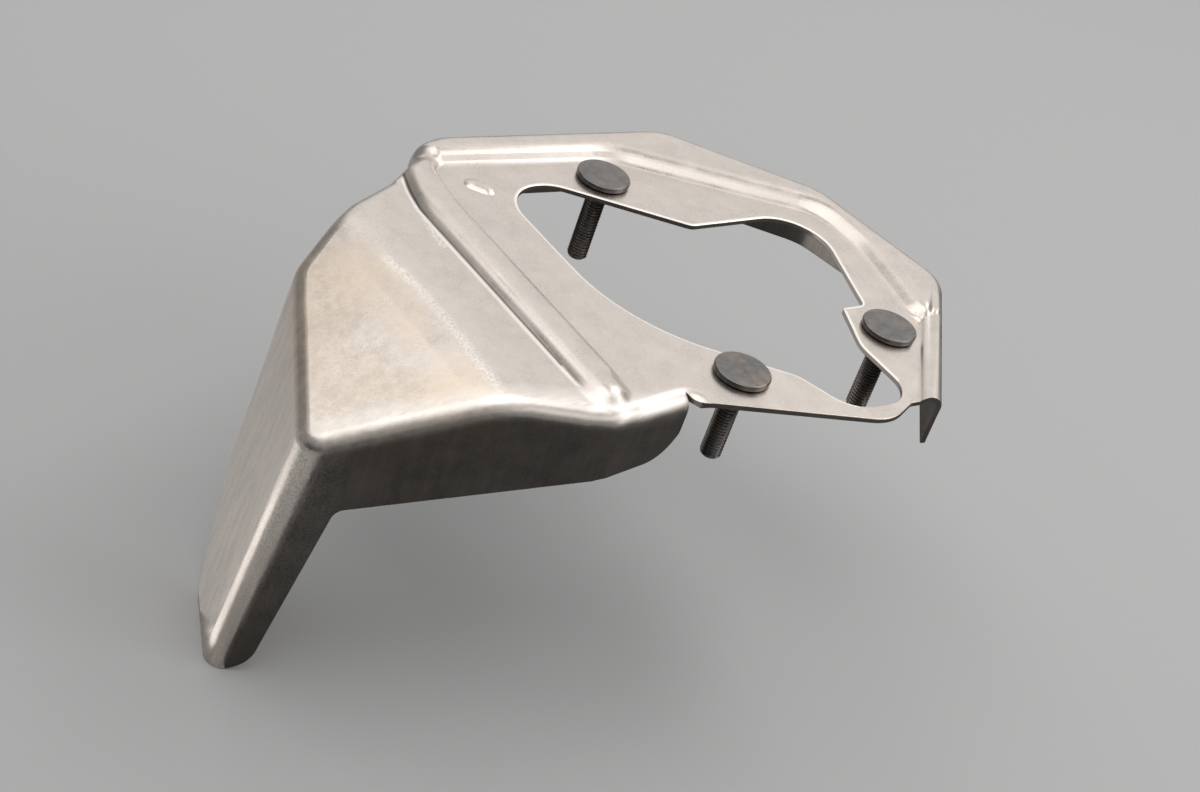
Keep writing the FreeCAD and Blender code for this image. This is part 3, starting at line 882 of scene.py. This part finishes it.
class StudTree:
    """Builds the node tree that threads a shank and sets it in three places."""

    def __init__(self):
        self.tree = bpy.data.node_groups.new("threaded_weld_studs", "GeometryNodeTree")
        self.sockets = {}
        self.tree.interface.new_socket("Geometry", in_out="INPUT", socket_type="NodeSocketGeometry")
        for kind, names in STUD_SOCKETS.items():
            for name in names:
                socket = self.tree.interface.new_socket(name, in_out="INPUT", socket_type=kind)
                self.sockets[name] = socket.identifier
        self.tree.interface.new_socket("Geometry", in_out="OUTPUT", socket_type="NodeSocketGeometry")
        self.given = self.node("NodeGroupInput").outputs

    def node(self, kind):
        """A new node of a kind."""
        return self.tree.nodes.new(kind)

    def sum(self, operation, first, second=0.0):
        """One sum of two values, each a socket or a number."""
        return math_node(self.tree, operation, first, second)

    def thread(self, angle, along):
        """The shank's radius and height from the angle and the way along an unrolled sheet."""
        given = self.given
        from_end = self.sum("ADD", along, self.sum("MULTIPLY", given["Length"], 0.5))
        height = self.sum("ADD", self.sum("SUBTRACT", given["Top"], given["Length"]), from_end)
        turn = self.sum("DIVIDE", angle, 2 * math.pi)
        phase = self.sum("ADD", self.sum("DIVIDE", along, given["Pitch"]), turn)
        wave = self.sum("MULTIPLY", self.sum("PINGPONG", phase, 0.5), 2.0)
        cut = self.sum("MULTIPLY", range_node(self.tree, wave, *THREAD_FLANK), given["Thread Depth"])
        tapered = self.sum("ADD", self.sum("SUBTRACT", given["Shank Radius"], given["Point"]), from_end)
        radius = self.sum("MINIMUM", self.sum("SUBTRACT", given["Shank Radius"], cut), tapered)
        # The first and the last row close on the axis.
        after_first = self.sum("GREATER_THAN", from_end, TINY)
        before_last = self.sum("LESS_THAN", from_end, self.sum("SUBTRACT", given["Length"], TINY))
        return product(self.tree, radius, after_first, before_last), height

    def shank(self):
        """A closed threaded shank, rolled up from a flat grid."""
        tree, given = self.tree, self.given
        grid = self.node("GeometryNodeMeshGrid")
        grid.inputs["Size X"].default_value = 2 * math.pi
        rows = self.sum("MULTIPLY", self.sum("DIVIDE", given["Length"], given["Pitch"]), given["Rows"])
        columns = self.sum("ADD", given["Sides"], 1.0)
        link(tree, given["Length"], grid.inputs["Size Y"], columns, grid.inputs["Vertices X"],
             rows, grid.inputs["Vertices Y"])
        spot = self.node("ShaderNodeSeparateXYZ")
        tree.links.new(self.node("GeometryNodeInputPosition").outputs[0], spot.inputs[0])
        angle = spot.outputs[0]
        radius, height = self.thread(angle, spot.outputs[1])
        place = self.node("ShaderNodeCombineXYZ")
        link(tree, self.sum("MULTIPLY", radius, self.sum("COSINE", angle)), place.inputs[0],
             self.sum("MULTIPLY", radius, self.sum("SINE", angle)), place.inputs[1], height, place.inputs[2])
        rolled = self.node("GeometryNodeSetPosition")
        link(tree, grid.outputs["Mesh"], rolled.inputs["Geometry"],
             place.outputs[0], rolled.inputs["Position"])
        closed = self.node("GeometryNodeMergeByDistance")
        closed.inputs["Distance"].default_value = TINY
        tree.links.new(rolled.outputs["Geometry"], closed.inputs["Geometry"])
        return closed.outputs["Geometry"]

    def build(self):
        """Joins the head that comes in to the shank, and sets a copy in each place."""
        tree, given = self.tree, self.given
        stud = self.node("GeometryNodeJoinGeometry")
        link(tree, given["Geometry"], stud.inputs[0], self.shank(), stud.inputs[0])
        places = self.node("GeometryNodeJoinGeometry")
        for name in STUD_PLACES:
            point = self.node("GeometryNodePoints")
            link(tree, given[name], point.inputs["Position"], point.outputs[0], places.inputs[0])
        copies = self.node("GeometryNodeInstanceOnPoints")
        link(tree, places.outputs[0], copies.inputs["Points"], stud.outputs[0], copies.inputs["Instance"])
        real = self.node("GeometryNodeRealizeInstances")
        finish = self.node("GeometryNodeSetMaterial")
        out = self.node("NodeGroupOutput")
        link(tree, copies.outputs[0], real.inputs[0], real.outputs[0], finish.inputs["Geometry"],
             given["Finish"], finish.inputs["Material"], finish.outputs[0], out.inputs[0])
        return self


def plain_copy(obj, name):
    """The evaluated shape of an object as a new plain mesh object, and the old one gone."""
    graph = bpy.context.evaluated_depsgraph_get()
    mesh = bpy.data.meshes.new_from_object(obj.evaluated_get(graph))
    mesh.name = name
    made = bpy.data.objects.new(name, mesh)
    bpy.context.scene.collection.objects.link(made)
    bpy.data.objects.remove(obj)
    return made


class HEATSHIELD_OT_sheet(bpy.types.Operator):
    """Makes the stamped sheet, with its pressed rib, pinched fold, rounded cut edges, and a worn face with
    painted highlights and painted shade
    """

    bl_idname = "heatshield.sheet"
    bl_label = "Stamped Sheet"

    def execute(self, context):
        sizes = context.scene.heatshield_sheet
        source = frame["nodes"]["heat_shield"].data
        mesh = bmesh.new()
        mesh.from_mesh(source)
        layers = mesh.loops.layers
        layers.float_vector.new("true_normal")
        # A corner layer that holds the painted highlight on the rolled cut edges.
        layers.float.new("edge_highlight")
        layer, highlight_layer = layers.float_vector["true_normal"], layers.float["edge_highlight"]
        directions = [normal.vector.copy() for normal in source.corner_normals]
        for face, polygon in zip(mesh.faces, source.polygons):
            for loop, index in zip(face.loops, polygon.loop_indices):
                loop[layer] = directions[index]
        bmesh.ops.remove_doubles(mesh, verts=mesh.verts, dist=WELD)
        bmesh.ops.dissolve_degenerate(mesh, edges=mesh.edges, dist=WELD)
        drawn = mesh.copy()
        split_facets(mesh, sizes.crease_facet)
        press_rib(mesh, layer, drawn)
        drawn.free()
        bend_and_dent(mesh, layer, sizes.step_crease_depth)
        join_flats(mesh)
        round_cut_edges(mesh, layer, highlight_layer, sizes)
        data = bpy.data.meshes.new("shield_sheet")
        mesh.to_mesh(data)
        data.shade_smooth()
        corners = [loop for face in mesh.faces for loop in face.loops]
        data.normals_split_custom_set([corner[layer].normalized() for corner in corners])
        mesh.free()
        data.attributes.remove(data.attributes["true_normal"])
        sheet = bpy.data.objects.new("shield_sheet", data)
        context.scene.collection.objects.link(sheet)
        data.materials.clear()
        data.materials.append(stainless_material(context.scene.heatshield_finish))
        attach(sheet, "root")
        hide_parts("heat_shield")
        return {"FINISHED"}


class HEATSHIELD_OT_studs(bpy.types.Operator):
    """Makes the three weld studs, each with a flat round head and a rolled thread"""

    bl_idname = "heatshield.studs"
    bl_label = "Weld Studs"

    def execute(self, context):
        sizes = context.scene.heatshield_studs
        top = STUD_BOX[1].z
        head = lathe(head_outline(sizes, top, top - sizes.head_height), HEAD_SIDES)
        maker = bpy.data.objects.new("stud_maker", head)
        context.scene.collection.objects.link(maker)
        studs = StudTree().build()
        modifier = maker.modifiers.new("studs", "NODES")
        modifier.node_group = studs.tree
        values = {
            "Shank Radius": MOUNTS["front_stud"]["dims"]["r_mm"] * MM, "Thread Depth": sizes.thread_depth,
            "Pitch": sizes.pitch, "Top": SHANK_TOP, "Length": SHANK_TOP - STUD_BOX[0].z, "Point": sizes.point,
            "Sides": sizes.sides, "Rows": sizes.rows, **STUD_PLACES,
            "Finish": dark_steel_material(context.scene.heatshield_dark),
        }
        for name, value in values.items():
            modifier[studs.sockets[name]] = value
        made = plain_copy(maker, "threaded_studs")
        made.data.shade_smooth()
        made.data.set_sharp_from_angle(angle=STUD_SHARP)
        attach(made, "root")
        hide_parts("weld_studs")
        return {"FINISHED"}


def soft_light(name, place, aim, size, power):
    """A rectangular soft box that points at a spot."""
    data = bpy.data.lights.new(name, "AREA")
    data.shape = "RECTANGLE"
    data.size, data.size_y = size
    data.energy = power
    light = bpy.data.objects.new(name, data)
    light.location = place
    light.rotation_euler = (Vector(aim) - Vector(place)).to_track_quat("-Z", "Y").to_euler()
    bpy.context.scene.collection.objects.link(light)


def plain_material(name, values):
    """A material that is the same all over, from its shader's values by name."""
    material = bpy.data.materials.new(name)
    material.use_nodes = True
    shader = material.node_tree.nodes["Principled BSDF"]
    for socket, value in values.items():
        shader.inputs[socket].default_value = value
    return material


def flat_facet(name, corners, material):
    """One flat facet of the studio, which isn't part of the object."""
    mesh = bpy.data.meshes.new(name)
    mesh.from_pydata(corners, [], [tuple(range(len(corners)))])
    mesh.materials.append(material)
    facet = bpy.data.objects.new(name, mesh)
    bpy.context.scene.collection.objects.link(facet)
    return facet


def reflected_card(name, corners, glow):
    """A card that only reflections see, black or glowing."""
    if glow:
        values = {
            "Base Color": (0.0, 0.0, 0.0, 1.0), "Emission Color": (1.0, 0.99, 0.97, 1.0),
            "Emission Strength": glow,
        }
    else:
        values = {"Base Color": (0.03, 0.03, 0.03, 1.0), "Roughness": 0.9}
    card = flat_facet(name, corners, plain_material(name, values))
    for kind in ("camera", "diffuse", "shadow", "transmission", "volume_scatter"):
        setattr(card, "visible_" + kind, False)


def photo_camera(lens):
    """A camera at the photograph's viewing angle."""
    across = CAMERA_ACROSS.normalized()
    ahead = (CAMERA_AHEAD - across * CAMERA_AHEAD.dot(across)).normalized()
    turn = Matrix((across, across.cross(ahead), -ahead)).transposed().to_4x4()
    data = bpy.data.cameras.new("camera")
    data.lens = lens
    data.sensor_width = 36.0
    data.clip_start = 0.01
    data.clip_end = 20.0
    camera = bpy.data.objects.new("camera", data)
    camera.matrix_world = Matrix.Translation(CAMERA_PLACE) @ turn
    bpy.context.scene.collection.objects.link(camera)
    return camera


class HEATSHIELD_OT_stage(bpy.types.Operator):
    """Makes the plain floor, the soft studio light and the camera"""

    bl_idname = "heatshield.stage"
    bl_label = "Studio"

    def execute(self, context):
        look = context.scene.heatshield_stage
        paper = {"Base Color": tuple(look.floor), "Roughness": 0.8, "Specular IOR Level": 0.0}
        signs = ((-1, -1), (1, -1), (1, 1), (-1, 1))
        corners = [(x * FLOOR_HALF, y * FLOOR_HALF, FLOOR) for x, y in signs]
        flat_facet("floor", corners, plain_material("pale_floor", paper))
        for name, corners, glow in CARDS:
            reflected_card(name, corners, glow)
        for box in SOFT_BOXES:
            soft_light(*box)

        world = bpy.data.worlds.new("surround")
        world.use_nodes = True
        world.node_tree.nodes["Background"].inputs["Color"].default_value = (1.0, 0.99, 0.98, 1.0)
        world.node_tree.nodes["Background"].inputs["Strength"].default_value = look.surround
        context.scene.world = world
        context.scene.camera = photo_camera(look.lens)
        context.scene.view_settings.view_transform = "Standard"
        return {"FINISHED"}


class HEATSHIELD_PT_panel(bpy.types.Panel):
    """Lists the sizes, colours and pieces of the heat shield"""

    bl_label = "Heat Shield"
    bl_idname = "HEATSHIELD_PT_panel"
    bl_space_type = "VIEW_3D"
    bl_region_type = "UI"
    bl_category = "Heat Shield"

    def draw(self, context):
        for group, operator in (
            ("heatshield_sheet", "heatshield.sheet"), ("heatshield_finish", None),
            ("heatshield_studs", "heatshield.studs"), ("heatshield_dark", None),
            ("heatshield_stage", "heatshield.stage"),
        ):
            box = self.layout.box()
            settings = getattr(context.scene, group)
            for name in settings.__annotations__:
                box.prop(settings, name)
            if operator:
                box.operator(operator)


SETTINGS = {
    "heatshield_sheet": SheetSizes,
    "heatshield_finish": SheetFinish,
    "heatshield_studs": StudSizes,
    "heatshield_dark": StudFinish,
    "heatshield_stage": StageLook,
}
CLASSES = (
    *SETTINGS.values(), HEATSHIELD_OT_sheet, HEATSHIELD_OT_studs, HEATSHIELD_OT_stage, HEATSHIELD_PT_panel,
)


def register():
    """Adds the settings, the operators and the panel to Blender."""
    for cls in CLASSES:
        bpy.utils.register_class(cls)
    for name, group in SETTINGS.items():
        setattr(bpy.types.Scene, name, PointerProperty(type=group))


def unregister():
    """Takes out what register added."""
    for name in SETTINGS:
        delattr(bpy.types.Scene, name)
    for cls in reversed(CLASSES):
        bpy.utils.unregister_class(cls)


def main():
    """Makes the pieces and the studio."""
    register()
    bpy.ops.heatshield.sheet()
    bpy.ops.heatshield.studs()
    bpy.ops.heatshield.stage()


if __name__ == "__main__":
    main()
